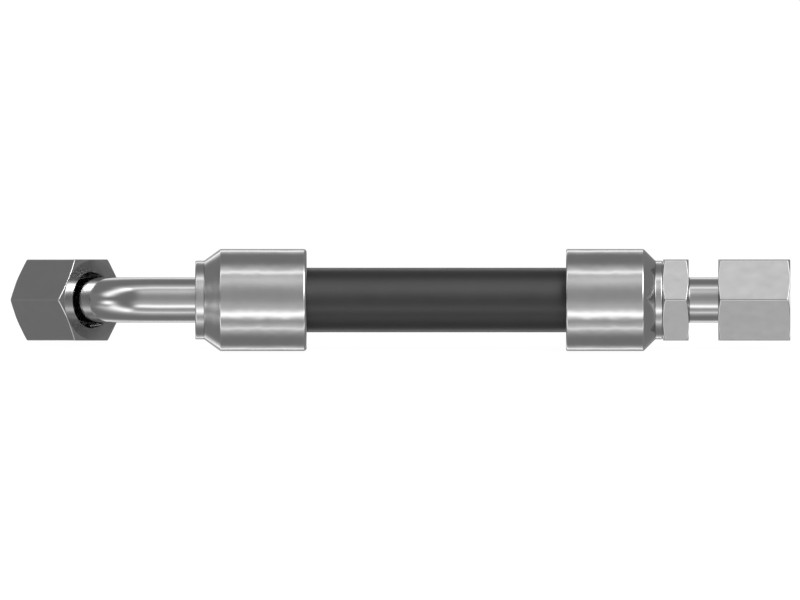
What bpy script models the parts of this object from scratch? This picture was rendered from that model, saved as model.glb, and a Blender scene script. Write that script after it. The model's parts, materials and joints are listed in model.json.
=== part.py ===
"""Hydraulic hose assembly: a short rubber hose with a turned steel fitting on each end.

The left fitting is bent by 45 degrees and the right one is straight. Each carries a
hexagonal swivel nut for a 24 degree cone joint. Units are metres and +Z is up.

Every piece is modelled about the hose's axis, with the hose's middle at the origin.
The whole assembly is then laid down as it comes to rest: on its two ferrules and on
one corner of the bent fitting's nut.
"""

import math

import bmesh
import bpy
from mathutils import Matrix, Vector

MM = 0.001

# Facets round the wide and the narrow pieces, multiples of six so that hexagon corners fall on them
WIDE_SIDES = 42
NARROW_SIDES = 30
FILLET_STEPS = 2
BEND_STEPS = 9
SMOOTH_ANGLE = math.radians(32)

# Clearance between pieces that touch on the real assembly
FIT_GAP = 0.3 * MM

# Swivel nuts for an M22 x 1.5 thread, bored to the thread's crest; all round sizes follow from the nut
NUT_ACROSS_FLATS = 27.0 * MM
NUT_WALL = 3.31 * MM
NUT_SEAT_STEP = 1.04 * MM
NUT_LENGTH = 24.0 * MM
NUT_REAR_WALL = 6.0 * MM
NUT_REAR_CHAMFER = 0.4 * MM
NUT_MOUTH_CHAMFER = 1.2 * MM
THREAD_BORE_R = NUT_ACROSS_FLATS / 2 - NUT_WALL
NUT_REAR_BORE_R = THREAD_BORE_R - NUT_SEAT_STEP

# The end chamfer of a hexagon starts a little inside its flats and falls back by 18 degrees
HEX_CHAMFER_INSET = 0.2 * MM
HEX_CHAMFER_SLOPE = math.tan(math.radians(18))

# Oil way and tube of both inserts; the tube runs free through the nut's rear bore
TUBE_PLAY = 1.65 * MM
TUBE_WALL = 2.5 * MM
TUBE_R = NUT_REAR_BORE_R - TUBE_PLAY
OIL_WAY_R = TUBE_R - TUBE_WALL

# Barbed tail inside the hose
TAIL_WALL = 0.95 * MM
BARB_DEPTH = 0.4 * MM
BARB_PITCH = 4.2 * MM
BARB_BACK = 0.4 * MM
TAIL_SETBACK = 1.5 * MM
TAIL_TIP_CHAMFER = 0.6 * MM

# Hose: liner, wire braid and cover from the inside out, bored to take the tails
HOSE_BORE_R = OIL_WAY_R + TAIL_WALL + BARB_DEPTH + FIT_GAP
LINER_WALL = 1.5 * MM
BRAID_WALL = 0.8 * MM
COVER_WALL = 1.2 * MM
LINER_OUTER_R = HOSE_BORE_R + LINER_WALL
BRAID_INNER_R = LINER_OUTER_R + FIT_GAP
BRAID_OUTER_R = BRAID_INNER_R + BRAID_WALL
COVER_INNER_R = BRAID_OUTER_R + FIT_GAP
HOSE_OUTER_R = COVER_INNER_R + COVER_WALL
HOSE_EXPOSED_LENGTH = 86.2 * MM

# Lock collar that keeps the insert behind the ferrule's lip
LOCK_COLLAR_STEP = 2.1 * MM
LOCK_COLLAR_R = TUBE_R + LOCK_COLLAR_STEP
LOCK_COLLAR_LENGTH = 3.2 * MM

# Teeth inside the ferrules
TOOTH_DEPTH = 1.0 * MM
TOOTH_PITCH = 4.6 * MM
TOOTH_TIP = 0.6 * MM
TOOTH_BACK = 0.5 * MM

# Ferrules: outside and collar are alike, lengths and the rounding of the mouth differ from end to end
FERRULE_WALL = 4.95 * MM
FERRULE_COLLAR_WALL = 3.2 * MM
FERRULE_R = HOSE_OUTER_R + FIT_GAP + TOOTH_DEPTH + FERRULE_WALL
FERRULE_COLLAR_R = LOCK_COLLAR_R + FIT_GAP + FERRULE_COLLAR_WALL
FERRULE_EDGE_R = 0.5 * MM
LEFT_MOUTH_EDGE_R = 1.1 * MM
RIGHT_MOUTH_EDGE_R = 0.6 * MM
FERRULE_MOUTH_CHAMFER = 0.8 * MM
LEFT_CYLINDER_LENGTH = 28.7 * MM
LEFT_CONE_LENGTH = 5.4 * MM
LEFT_LIP_LENGTH = 3.0 * MM
RIGHT_CYLINDER_LENGTH = 25.8 * MM
RIGHT_CONE_LENGTH = 3.9 * MM
RIGHT_LIP_LENGTH = 2.2 * MM

# Bent tube of the left insert
ELBOW_ANGLE = math.radians(45)
ELBOW_R = 25.0 * MM
ELBOW_STRAIGHT = 12.3 * MM
ELBOW_TO_NUT = 5.7 * MM

# Hexagon body and neck of the right insert; the body takes the same spanner as the nuts
BODY_ACROSS_FLATS = NUT_ACROSS_FLATS
BODY_LENGTH = 8.6 * MM
NECK_LENGTH = 9.8 * MM

# Cone head inside the nut, with a groove for the seal ring
HEAD_R = THREAD_BORE_R - FIT_GAP
HEAD_LAND = 2.5 * MM
CONE_STEP = 1.39 * MM
CONE_BASE_R = HEAD_R - CONE_STEP
CONE_LENGTH = 10.0 * MM
CONE_SLOPE = math.tan(math.radians(12))
SEAL_TO_BASE = 2.9 * MM
SEAL_DEPTH = 0.9 * MM
SEAL_RING_R = CONE_BASE_R - SEAL_DEPTH
SEAL_CORD_R = 0.85 * MM
SEAL_CORD_STEPS = 10

# Places along each fitting, measured outwards from the hose's middle
MOUTH_AT = HOSE_EXPOSED_LENGTH / 2
LEFT_CONE_AT = MOUTH_AT + LEFT_CYLINDER_LENGTH
LEFT_LIP_AT = LEFT_CONE_AT + LEFT_CONE_LENGTH
LEFT_FERRULE_END = LEFT_LIP_AT + LEFT_LIP_LENGTH
RIGHT_CONE_AT = MOUTH_AT + RIGHT_CYLINDER_LENGTH
RIGHT_LIP_AT = RIGHT_CONE_AT + RIGHT_CONE_LENGTH
RIGHT_FERRULE_END = RIGHT_LIP_AT + RIGHT_LIP_LENGTH
BEND_START = LEFT_FERRULE_END + ELBOW_STRAIGHT
BEND_END = BEND_START + ELBOW_R * ELBOW_ANGLE
LEFT_NUT_AT = BEND_END + ELBOW_TO_NUT
BODY_AT = RIGHT_FERRULE_END + FIT_GAP
BODY_END = BODY_AT + BODY_LENGTH
RIGHT_NUT_AT = BODY_END + NECK_LENGTH

# Places of the cone head, measured forwards from its nut's rear face
HEAD_SEAT_EDGE = NUT_REAR_WALL + FIT_GAP * math.sqrt(2)
HEAD_BACK = HEAD_SEAT_EDGE - (NUT_REAR_BORE_R - TUBE_R)
HEAD_SHOULDER = HEAD_SEAT_EDGE + HEAD_R - NUT_REAR_BORE_R
CONE_BASE = HEAD_SHOULDER + HEAD_LAND
SEAL_PLACE = CONE_BASE + SEAL_TO_BASE
CONE_TIP = CONE_BASE + CONE_LENGTH


def straight_path(along):
    """Centre and sideways direction on the hose's axis and the right fitting."""
    return Vector((along, 0, 0)), Vector((0, 1, 0))


def elbow_path(along):
    """Centre and sideways direction on the left fitting, which turns towards +Y in its bend."""
    angle = min(max(along - BEND_START, 0) / ELBOW_R, ELBOW_ANGLE)
    past_bend = max(along - BEND_END, 0)
    x = -min(along, BEND_START) - ELBOW_R * math.sin(angle) - past_bend * math.cos(angle)
    y = ELBOW_R * (1 - math.cos(angle)) + past_bend * math.sin(angle)
    return Vector((x, y, 0)), Vector((math.sin(angle), math.cos(angle), 0))


def ring(along, radius):
    """A round ring: the same place along the path and the same radius at every turn."""
    return lambda turn: (along, radius)


def hexagon_ring(face_at, across_flats, inwards):
    """The edge where a hexagon's end chamfer meets its flats, deepest at the six corners."""
    chamfer_from = across_flats / 2 - HEX_CHAMFER_INSET

    def place(turn):
        off_flat = turn % (math.pi / 3) - math.pi / 6
        radius = across_flats / 2 / math.cos(off_flat)
        depth = (radius - chamfer_from) * HEX_CHAMFER_SLOPE
        return face_at + inwards * depth, radius

    return place


def hexagon_rings(start, end, across_flats):
    """A hexagon from end face to end face, chamfered at both."""
    face_r = across_flats / 2 - HEX_CHAMFER_INSET
    return [
        ring(start, face_r),
        hexagon_ring(start, across_flats, 1),
        hexagon_ring(end, across_flats, -1),
        ring(end, face_r),
    ]


def rounded(corners):
    """Turn an outline's corners into rings, with an arc at each corner that has a fillet radius."""
    rings = []
    for index, (along, radius, fillet) in enumerate(corners):
        corner = Vector((along, radius))
        if fillet == 0:
            rings.append(ring(along, radius))
            continue
        before = Vector(corners[index - 1][:2]) - corner
        after = Vector(corners[(index + 1) % len(corners)][:2]) - corner
        half = before.angle(after) / 2
        reach = min(fillet / math.tan(half), before.length / 2, after.length / 2)
        fillet_r = reach * math.tan(half)
        centre = corner + (before.normalized() + after.normalized()).normalized() * fillet_r / math.sin(half)
        first = corner + before.normalized() * reach - centre
        sweep = first.angle_signed(corner + after.normalized() * reach - centre)
        for step in range(FILLET_STEPS + 1):
            spoke = Matrix.Rotation(-sweep * step / FILLET_STEPS, 2) @ first
            rings.append(ring(centre.x + spoke.x, centre.y + spoke.y))
    return rings


def turned_piece(name, rings, path, material, sides, origin_at=0):
    """Join rings into one closed solid round a path, with its origin on that path."""
    origin = path(origin_at)[0]
    shape = bmesh.new()
    loops = []
    for place in rings:
        loop = []
        for side in range(sides):
            turn = side * math.tau / sides
            along, radius = place(turn)
            centre, sideways = path(along)
            spoke = sideways * math.cos(turn) + Vector((0, 0, math.sin(turn)))
            loop.append(shape.verts.new(centre + spoke * radius - origin))
        loops.append(loop)
    for index, loop in enumerate(loops):
        other = loops[(index + 1) % len(loops)]
        for side in range(sides):
            beside = (side + 1) % sides
            shape.faces.new((loop[side], other[side], other[beside], loop[beside]))
    bmesh.ops.recalc_face_normals(shape, faces=shape.faces)
    mesh = bpy.data.meshes.new(name)
    shape.to_mesh(mesh)
    shape.free()
    mesh.shade_smooth()
    mesh.set_sharp_from_angle(angle=SMOOTH_ANGLE)
    mesh.materials.append(material)
    piece = bpy.data.objects.new(name, mesh)
    piece.location = origin
    bpy.context.collection.objects.link(piece)
    return piece


def surface(name, colour, metallic, roughness):
    """A plain Principled material."""
    material = bpy.data.materials.new(name)
    material.use_nodes = True
    shader = material.node_tree.nodes["Principled BSDF"]
    shader.inputs["Base Color"].default_value = (*colour, 1)
    shader.inputs["Metallic"].default_value = metallic
    shader.inputs["Roughness"].default_value = roughness
    return material


def sleeve(name, inner_r, outer_r, material):
    """One layer of the hose, from cut end to cut end."""
    start = -hose_end(LEFT_LIP_AT)
    end = hose_end(RIGHT_LIP_AT)
    rings = [ring(start, outer_r), ring(end, outer_r), ring(end, inner_r), ring(start, inner_r)]
    return turned_piece(name, rings, straight_path, material, WIDE_SIDES)


def collar_start(lip_at):
    """Hose side of the lock collar, which lies just behind the ferrule's lip."""
    return lip_at - FIT_GAP - LOCK_COLLAR_LENGTH


def hose_end(lip_at):
    """Where the hose is cut, just short of the lock collar."""
    return collar_start(lip_at) - FIT_GAP


def ferrule(name, path, mouth_edge_r, cone_at, lip_at, end, material):
    """Crimp shell: smooth outside, toothed inside, with a lip that locks on the insert."""
    tip_r = HOSE_OUTER_R + FIT_GAP
    root_r = tip_r + TOOTH_DEPTH
    chamber_end = collar_start(lip_at)
    pocket_r = LOCK_COLLAR_R + FIT_GAP
    lip_bore_r = TUBE_R + FIT_GAP
    corners = [
        (MOUTH_AT, tip_r + FERRULE_MOUTH_CHAMFER, 0),
        (MOUTH_AT, FERRULE_R, mouth_edge_r),
        (cone_at, FERRULE_R, FERRULE_EDGE_R),
        (lip_at, FERRULE_COLLAR_R, FERRULE_EDGE_R),
        (end, FERRULE_COLLAR_R, FERRULE_EDGE_R),
        (end, lip_bore_r, 0),
        (lip_at, lip_bore_r, 0),
        (lip_at, pocket_r, 0),
        (chamber_end, pocket_r, 0),
        (chamber_end, root_r, 0),
    ]
    # Each tooth slopes up from the mouth and drops steeply behind its tip, so the hose only slides in
    first_tooth = MOUTH_AT + FERRULE_MOUTH_CHAMFER
    count = int((chamber_end - first_tooth) / TOOTH_PITCH)
    for number in reversed(range(count)):
        tip_end = first_tooth + TOOTH_TIP + number * TOOTH_PITCH
        corners.append((tip_end + TOOTH_BACK, root_r, 0))
        corners.append((tip_end, tip_r, 0))
        corners.append((tip_end - TOOTH_TIP, tip_r, 0))
    return turned_piece(name, rounded(corners), path, material, WIDE_SIDES)


def tail_rings(lip_at):
    """Outside of an insert from the tip of its barbed tail to the far side of its lock collar."""
    crest_r = HOSE_BORE_R - FIT_GAP
    root_r = crest_r - BARB_DEPTH
    tail_start = MOUTH_AT + TAIL_SETBACK
    collar_at = collar_start(lip_at)
    rings = [ring(tail_start, root_r - TAIL_TIP_CHAMFER / 2), ring(tail_start + TAIL_TIP_CHAMFER, root_r)]
    first_barb = tail_start + TAIL_TIP_CHAMFER
    count = int((collar_at - first_barb) / BARB_PITCH)
    for number in range(1, count + 1):
        crest_at = first_barb + number * BARB_PITCH - BARB_BACK
        rings.append(ring(crest_at, crest_r))
        rings.append(ring(crest_at + BARB_BACK, root_r))
    rings.append(ring(collar_at, root_r))
    rings.append(ring(collar_at, LOCK_COLLAR_R))
    rings.append(ring(collar_at + LOCK_COLLAR_LENGTH, LOCK_COLLAR_R))
    rings.append(ring(collar_at + LOCK_COLLAR_LENGTH, TUBE_R))
    return rings


def cone_radius(place):
    """Radius of the head's 24 degree cone at a place measured from the nut's rear face."""
    return CONE_BASE_R - (place - CONE_BASE) * CONE_SLOPE


def head_rings(nut_at):
    """Outside of the cone head, from the shoulder that the nut pulls on to the cone's tip."""
    groove_half = SEAL_CORD_R + FIT_GAP
    groove_floor_r = SEAL_RING_R - groove_half
    groove_start = SEAL_PLACE - groove_half
    groove_end = SEAL_PLACE + groove_half
    return [
        ring(nut_at + HEAD_BACK, TUBE_R),
        ring(nut_at + HEAD_SHOULDER, HEAD_R),
        ring(nut_at + CONE_BASE, HEAD_R),
        ring(nut_at + CONE_BASE, CONE_BASE_R),
        ring(nut_at + groove_start, cone_radius(groove_start)),
        ring(nut_at + groove_start, groove_floor_r),
        ring(nut_at + groove_end, groove_floor_r),
        ring(nut_at + groove_end, cone_radius(groove_end)),
        ring(nut_at + CONE_TIP, cone_radius(CONE_TIP)),
        ring(nut_at + CONE_TIP, OIL_WAY_R),
    ]


def bend_rings(radius):
    """Rings through the elbow's bend, from its hose side to its nut side."""
    rings = []
    for step in range(BEND_STEPS + 1):
        along = BEND_START + (BEND_END - BEND_START) * step / BEND_STEPS
        rings.append(ring(along, radius))
    return rings


def elbow_insert(name, material):
    """Left insert: barbed tail, lock collar, bent tube and cone head, with the oil way through all."""
    outside = tail_rings(LEFT_LIP_AT) + bend_rings(TUBE_R) + head_rings(LEFT_NUT_AT)
    oil_way = list(reversed(bend_rings(OIL_WAY_R))) + [ring(MOUTH_AT + TAIL_SETBACK, OIL_WAY_R)]
    return turned_piece(name, outside + oil_way, elbow_path, material, NARROW_SIDES)


def straight_insert(name, material):
    """Right insert: barbed tail, lock collar, hexagon body, neck and cone head."""
    body = [ring(BODY_AT, TUBE_R)]
    body += hexagon_rings(BODY_AT, BODY_END, BODY_ACROSS_FLATS)
    body += [ring(BODY_END, TUBE_R)]
    outside = tail_rings(RIGHT_LIP_AT) + body + head_rings(RIGHT_NUT_AT)
    oil_way = [ring(MOUTH_AT + TAIL_SETBACK, OIL_WAY_R)]
    return turned_piece(name, outside + oil_way, straight_path, material, NARROW_SIDES)


def swivel_nut(name, path, nut_at, material):
    """Hexagon nut: plain bore behind, a 45 degree seat for the cone head, then the thread."""
    front = nut_at + NUT_LENGTH
    seat_at = nut_at + NUT_REAR_WALL
    rings = [ring(nut_at, NUT_REAR_BORE_R + NUT_REAR_CHAMFER)]
    rings += hexagon_rings(nut_at, front, NUT_ACROSS_FLATS)
    rings += [
        ring(front, THREAD_BORE_R + NUT_MOUTH_CHAMFER),
        ring(front - NUT_MOUTH_CHAMFER, THREAD_BORE_R),
        ring(seat_at + THREAD_BORE_R - NUT_REAR_BORE_R, THREAD_BORE_R),
        ring(seat_at, NUT_REAR_BORE_R),
        ring(nut_at + NUT_REAR_CHAMFER, NUT_REAR_BORE_R),
    ]
    return turned_piece(name, rings, path, material, WIDE_SIDES, origin_at=nut_at)


def seal_ring(name, path, nut_at, material):
    """Round rubber ring in the cone head's groove."""
    rings = []
    for step in range(SEAL_CORD_STEPS):
        turn = step * math.tau / SEAL_CORD_STEPS
        along = nut_at + SEAL_PLACE + SEAL_CORD_R * math.cos(turn)
        rings.append(ring(along, SEAL_RING_R + SEAL_CORD_R * math.sin(turn)))
    return turned_piece(name, rings, path, material, NARROW_SIDES)


def rest_roll(nut):
    """How far the assembly rolls on its ferrules until the bent fitting's nut meets the ground."""
    rolls = []
    for vertex in nut.data.vertices:
        point = nut.location + vertex.co
        reach = math.hypot(point.y, point.z)
        if reach > FERRULE_R:
            rolls.append(math.asin(FERRULE_R / reach) - math.atan2(-point.z, point.y))
    return min(rolls)


def lay_down(pieces, roll):
    """Hang all pieces on one empty, rolled to rest, with the origin under the middle of the whole."""
    assembly = bpy.data.objects.new("hose_assembly", None)
    bpy.context.collection.objects.link(assembly)
    turn = Matrix.Rotation(-roll, 4, "X")
    points = []
    for piece in pieces:
        piece.parent = assembly
        points += [turn @ (piece.location + vertex.co) for vertex in piece.data.vertices]
    low = [min(point[axis] for point in points) for axis in range(3)]
    high = [max(point[axis] for point in points) for axis in range(3)]
    assembly.rotation_euler = (-roll, 0, 0)
    assembly.location = (-(low[0] + high[0]) / 2, -(low[1] + high[1]) / 2, -low[2])


for old in list(bpy.data.objects):
    bpy.data.objects.remove(old, do_unlink=True)

plated_steel = surface("plated_steel", (0.62, 0.62, 0.62), 1.0, 0.22)
nut_steel = surface("nut_steel", (0.55, 0.55, 0.55), 1.0, 0.35)
wire_steel = surface("wire_steel", (0.45, 0.42, 0.36), 1.0, 0.45)
cover_rubber = surface("cover_rubber", (0.035, 0.035, 0.036), 0.0, 0.6)
liner_rubber = surface("liner_rubber", (0.02, 0.02, 0.02), 0.0, 0.5)
seal_rubber = surface("seal_rubber", (0.015, 0.015, 0.015), 0.0, 0.4)

# Mouth rounding, start of the cone, start of the lip and end of each ferrule
left_places = (LEFT_MOUTH_EDGE_R, LEFT_CONE_AT, LEFT_LIP_AT, LEFT_FERRULE_END)
right_places = (RIGHT_MOUTH_EDGE_R, RIGHT_CONE_AT, RIGHT_LIP_AT, RIGHT_FERRULE_END)
left_nut = swivel_nut("left_swivel_nut", elbow_path, LEFT_NUT_AT, nut_steel)
all_pieces = [
    sleeve("hose_liner", HOSE_BORE_R, LINER_OUTER_R, liner_rubber),
    sleeve("hose_wire_braid", BRAID_INNER_R, BRAID_OUTER_R, wire_steel),
    sleeve("hose_cover", COVER_INNER_R, HOSE_OUTER_R, cover_rubber),
    elbow_insert("left_elbow_insert", plated_steel),
    ferrule("left_ferrule", elbow_path, *left_places, plated_steel),
    seal_ring("left_seal_ring", elbow_path, LEFT_NUT_AT, seal_rubber),
    left_nut,
    straight_insert("right_straight_insert", plated_steel),
    ferrule("right_ferrule", straight_path, *right_places, plated_steel),
    seal_ring("right_seal_ring", straight_path, RIGHT_NUT_AT, seal_rubber),
    swivel_nut("right_swivel_nut", straight_path, RIGHT_NUT_AT, nut_steel),
]
lay_down(all_pieces, rest_roll(left_nut))
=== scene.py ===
import json
import math

import bmesh
import bpy
from mathutils import Matrix, Vector, noise


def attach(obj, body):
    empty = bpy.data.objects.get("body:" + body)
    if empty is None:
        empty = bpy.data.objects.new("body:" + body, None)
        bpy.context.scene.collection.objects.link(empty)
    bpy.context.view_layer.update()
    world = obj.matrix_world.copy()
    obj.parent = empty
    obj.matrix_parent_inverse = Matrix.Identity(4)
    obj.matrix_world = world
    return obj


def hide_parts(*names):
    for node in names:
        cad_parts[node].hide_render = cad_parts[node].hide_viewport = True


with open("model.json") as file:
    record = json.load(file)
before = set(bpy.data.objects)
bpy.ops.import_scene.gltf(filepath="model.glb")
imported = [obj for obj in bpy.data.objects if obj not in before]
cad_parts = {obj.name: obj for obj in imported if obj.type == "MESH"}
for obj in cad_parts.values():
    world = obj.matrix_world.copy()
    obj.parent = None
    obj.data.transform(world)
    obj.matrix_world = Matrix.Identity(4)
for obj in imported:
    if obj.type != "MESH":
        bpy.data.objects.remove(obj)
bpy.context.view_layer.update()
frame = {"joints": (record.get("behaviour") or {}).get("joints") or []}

# The two lines that everything is turned about
# The hose, both ferrules and the right fitting share one line. The left nut turns about its own, 45
# degrees off it. Sizes are millimetres, and places run outwards from the hose's middle on either path.
MM = 0.001
RIGHT_NUT_AT = 93.7
ELBOW_R = 25.0
turning = {joint["name"]: joint for joint in frame["joints"]}
to_right = Vector(turning["right_nut_turn"]["axis"]).normalized()
to_left_mouth = Vector(turning["left_nut_turn"]["axis"]).normalized()
right_nut_rear = Vector(turning["right_nut_turn"]["pos_m"]) / MM
left_nut_rear = Vector(turning["left_nut_turn"]["pos_m"]) / MM
hose_middle = right_nut_rear - to_right * RIGHT_NUT_AT
upwards = to_right.cross(to_left_mouth).normalized()
aside = upwards.cross(to_right)
elbow_angle = to_left_mouth.angle(-to_right)
past_corner = (left_nut_rear - hose_middle).dot(aside) / to_left_mouth.dot(aside)
corner_at = (hose_middle - left_nut_rear + to_left_mouth * past_corner).dot(to_right)
bend_start = corner_at - ELBOW_R * math.tan(elbow_angle / 2)
bend_end = bend_start + ELBOW_R * elbow_angle
LEFT_NUT_AT = bend_end + past_corner - ELBOW_R * math.tan(elbow_angle / 2)


def straight(along):
    """Centre and sideways direction on the hose's line, outwards to the right."""
    return hose_middle + to_right * along, aside


def elbow(along):
    """Centre and sideways direction along the left fitting, outwards from the hose's middle."""
    angle = min(max(along - bend_start, 0) / ELBOW_R, elbow_angle)
    past_bend = max(along - bend_end, 0)
    back = min(along, bend_start) + ELBOW_R * math.sin(angle) + past_bend * math.cos(angle)
    over = ELBOW_R * (1 - math.cos(angle)) + past_bend * math.sin(angle)
    sideways = to_right * math.sin(angle) + aside * math.cos(angle)
    return hose_middle - to_right * back + aside * over, sideways


# Hose cover
# Black synthetic rubber over the wire braid, extruded and cured smooth, so it is matt with a slight
# unevenness. Both cut ends are hidden in the ferrules.
HOSE_BORE_R = 6.65
LINER_WALL = 1.5
BRAID_WALL = 0.8
FIT_GAP = 0.3
HOSE_OUTER_R = 10.75
HOSE_LEFT_END = -73.4
HOSE_RIGHT_END = 69.0
COVER_RING_SPACING = 1.5
COVER_UNEVEN = 0.012
COVER_UNEVEN_SIZE = 7.0
COVER_EDGE_R = 0.3
ROUND_COLUMNS = 168
FILLET_STEPS = 6
FILLET_SHARE = 0.45
SUPPORT_LEAD = 0.12
SUPPORT_SHARE = 0.04
SHARP_FROM = math.radians(30)
MERGE_WITHIN = 2e-7


def outline(corners):
    """Section points (along, radius, edge) from corners (along, radius, fillet).

    Edge is 1 on an outer rounding, -1 on an inner one and 0 elsewhere.
    """
    points = []
    for index, (along, radius, fillet) in enumerate(corners):
        if fillet == 0:
            points.append((along, radius, 0.0))
            continue
        corner = Vector((along, radius))
        back = Vector(corners[index - 1][:2]) - corner
        ahead = Vector(corners[(index + 1) % len(corners)][:2]) - corner
        half = back.angle(ahead) / 2
        reach = min(fillet / math.tan(half), FILLET_SHARE * min(back.length, ahead.length))
        arc_r = reach * math.tan(half)
        middle = (back.normalized() + ahead.normalized()).normalized()
        centre = corner + middle * arc_r / math.sin(half)
        first = corner + back.normalized() * reach - centre
        last = corner + ahead.normalized() * reach - centre
        sweep = first.angle_signed(last)
        side = 1.0 if back.cross(ahead) > 0 else -1.0
        lead_in = corner + back.normalized() * (reach + min(SUPPORT_LEAD, SUPPORT_SHARE * back.length))
        lead_out = corner + ahead.normalized() * (reach + min(SUPPORT_LEAD, SUPPORT_SHARE * ahead.length))
        points.append((lead_in.x, lead_in.y, 0.0))
        for step in range(FILLET_STEPS + 1):
            spoke = Matrix.Rotation(-sweep * step / FILLET_STEPS, 2) @ first
            points.append((centre.x + spoke.x, centre.y + spoke.y, side))
        points.append((lead_out.x, lead_out.y, 0.0))
    return points


def round_turns(columns):
    """Turns for a round piece, evenly spaced."""
    return [math.tau * column / columns for column in range(columns + 1)]


def turned(name, section, path, turns, material):
    """A closed solid from the section at each turn. It keeps its own coordinates, tool travel and edges."""
    places = []
    edges = []
    travels = []
    owns = []
    on_path = {}
    for turn in turns:
        points = section(turn)
        travel = 0.0
        before = points[0]
        for along, radius, edge in points:
            if along not in on_path:
                on_path[along] = path(along)
            centre, sideways = on_path[along]
            spoke = sideways * math.cos(turn) + upwards * math.sin(turn)
            places.append((centre + spoke * radius) * MM)
            travel += math.hypot(along - before[0], radius - before[1])
            before = (along, radius)
            edges.append(edge)
            travels.append(travel)
            owns.extend((along, radius * math.cos(turn), radius * math.sin(turn)))
    rows = len(points)
    faces = []
    for column in range(len(turns) - 1):
        for row in range(rows):
            here = column * rows
            after = (row + 1) % rows
            faces.append((here + row, here + rows + row, here + rows + after, here + after))
    mesh = bpy.data.meshes.new(name)
    mesh.from_pydata(places, [], faces)
    mesh.attributes.new("edge", "FLOAT", "POINT").data.foreach_set("value", edges)
    mesh.attributes.new("travel", "FLOAT", "POINT").data.foreach_set("value", travels)
    mesh.attributes.new("own", "FLOAT_VECTOR", "POINT").data.foreach_set("vector", owns)
    shape = bmesh.new()
    shape.from_mesh(mesh)
    bmesh.ops.remove_doubles(shape, verts=shape.verts, dist=MERGE_WITHIN)
    bmesh.ops.recalc_face_normals(shape, faces=shape.faces)
    shape.to_mesh(mesh)
    shape.free()
    mesh.shade_smooth()
    mesh.set_sharp_from_angle(angle=SHARP_FROM)
    mesh.materials.append(material)
    piece = bpy.data.objects.new(name, mesh)
    bpy.context.collection.objects.link(piece)
    return piece


def fit(piece, body, node):
    """Put a finished piece in the place of its solid."""
    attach(piece, body)
    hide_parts(node)
    return piece


def add(tree, kind, inputs, **settings):
    """A shader node with its settings made and its inputs set or linked."""
    node = tree.nodes.new(kind)
    for key, value in settings.items():
        setattr(node, key, value)
    for key, value in inputs.items():
        if isinstance(value, bpy.types.NodeSocket):
            tree.links.new(value, node.inputs[key])
        else:
            node.inputs[key].default_value = value
    return node


def sum_up(tree, operation, first, second=0.0):
    """The output of one arithmetic node."""
    return add(tree, "ShaderNodeMath", {0: first, 1: second}, operation=operation).outputs[0]


def effect(name, inputs, outputs):
    """An empty node group with named sockets; returns it with its input and output nodes."""
    group = bpy.data.node_groups.new(name, "ShaderNodeTree")
    for label, value in inputs.items():
        kind = "NodeSocketVector" if isinstance(value, tuple) else "NodeSocketFloat"
        group.interface.new_socket(label, in_out="INPUT", socket_type=kind).default_value = value
    for label in outputs:
        group.interface.new_socket(label, in_out="OUTPUT", socket_type="NodeSocketFloat")
    return group, group.nodes.new("NodeGroupInput").outputs, group.nodes.new("NodeGroupOutput").inputs


# Soft random patches of a given size in millimetres: a mask from 0 to 1 and a height in millimetres
patch_inputs = {"Position": (0.0, 0.0, 0.0), "Size": 1.0, "Detail": 2.0, "Depth": 0.0}
patches, given, wanted = effect("soft_patches", patch_inputs, ("Mask", "Height"))
scale = sum_up(patches, "DIVIDE", 1.0, given["Size"])
cloud = add(
    patches, "ShaderNodeTexNoise", {"Vector": given["Position"], "Scale": scale, "Detail": given["Detail"]}
)
patches.links.new(cloud.outputs["Fac"], wanted["Mask"])
off_middle = sum_up(patches, "SUBTRACT", cloud.outputs["Fac"], 0.5)
patches.links.new(sum_up(patches, "MULTIPLY", off_middle, given["Depth"]), wanted["Height"])


def use(tree, group, inputs):
    """A group's outputs in a material, with its own values."""
    return add(tree, "ShaderNodeGroup", inputs, node_tree=group).outputs


def blank(name, metallic, roughness):
    """A material with one Principled shader; returns it with its tree and shader."""
    material = bpy.data.materials.new(name)
    material.use_nodes = True
    shader = material.node_tree.nodes["Principled BSDF"]
    shader.inputs["Metallic"].default_value = metallic
    shader.inputs["Roughness"].default_value = roughness
    return material, material.node_tree, shader


def shades(tree, mask, dark, light):
    """A colour that runs from dark to light over a mask."""
    return add(tree, "ShaderNodeMix", {0: mask, 6: dark, 7: light}, data_type="RGBA").outputs[2]


def spread(tree, mask, low, high):
    """A value that runs from low to high over a mask."""
    return add(tree, "ShaderNodeMapRange", {"Value": mask, "To Min": low, "To Max": high}).outputs[0]


def raise_surface(tree, shader, height):
    """Feed a height in millimetres to the shader's normal."""
    bump = add(tree, "ShaderNodeBump", {"Height": height, "Distance": MM})
    tree.links.new(bump.outputs["Normal"], shader.inputs["Normal"])


def own_place(tree):
    """A piece's own coordinates in millimetres, which stay with it as it turns."""
    return add(tree, "ShaderNodeAttribute", {}, attribute_name="own").outputs["Vector"]


COVER_DARK = (0.0085, 0.0085, 0.0087, 1)
COVER_LIGHT = (0.0135, 0.0135, 0.0138, 1)
COVER_GLOSS = 0.56
cover_rubber, tree, shader = blank("cover_rubber", metallic=0.0, roughness=0.38)
shader.inputs["Specular IOR Level"].default_value = COVER_GLOSS
position = own_place(tree)
bloom = use(tree, patches, {"Position": position, "Size": 9.0, "Detail": 4.0})
grain = use(tree, patches, {"Position": position, "Size": 0.35, "Detail": 2.0, "Depth": 0.008})
tree.links.new(shades(tree, bloom["Mask"], COVER_DARK, COVER_LIGHT), shader.inputs["Base Color"])
tree.links.new(spread(tree, bloom["Mask"], low=0.33, high=0.43), shader.inputs["Roughness"])
raise_surface(tree, shader, grain["Height"])


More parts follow.
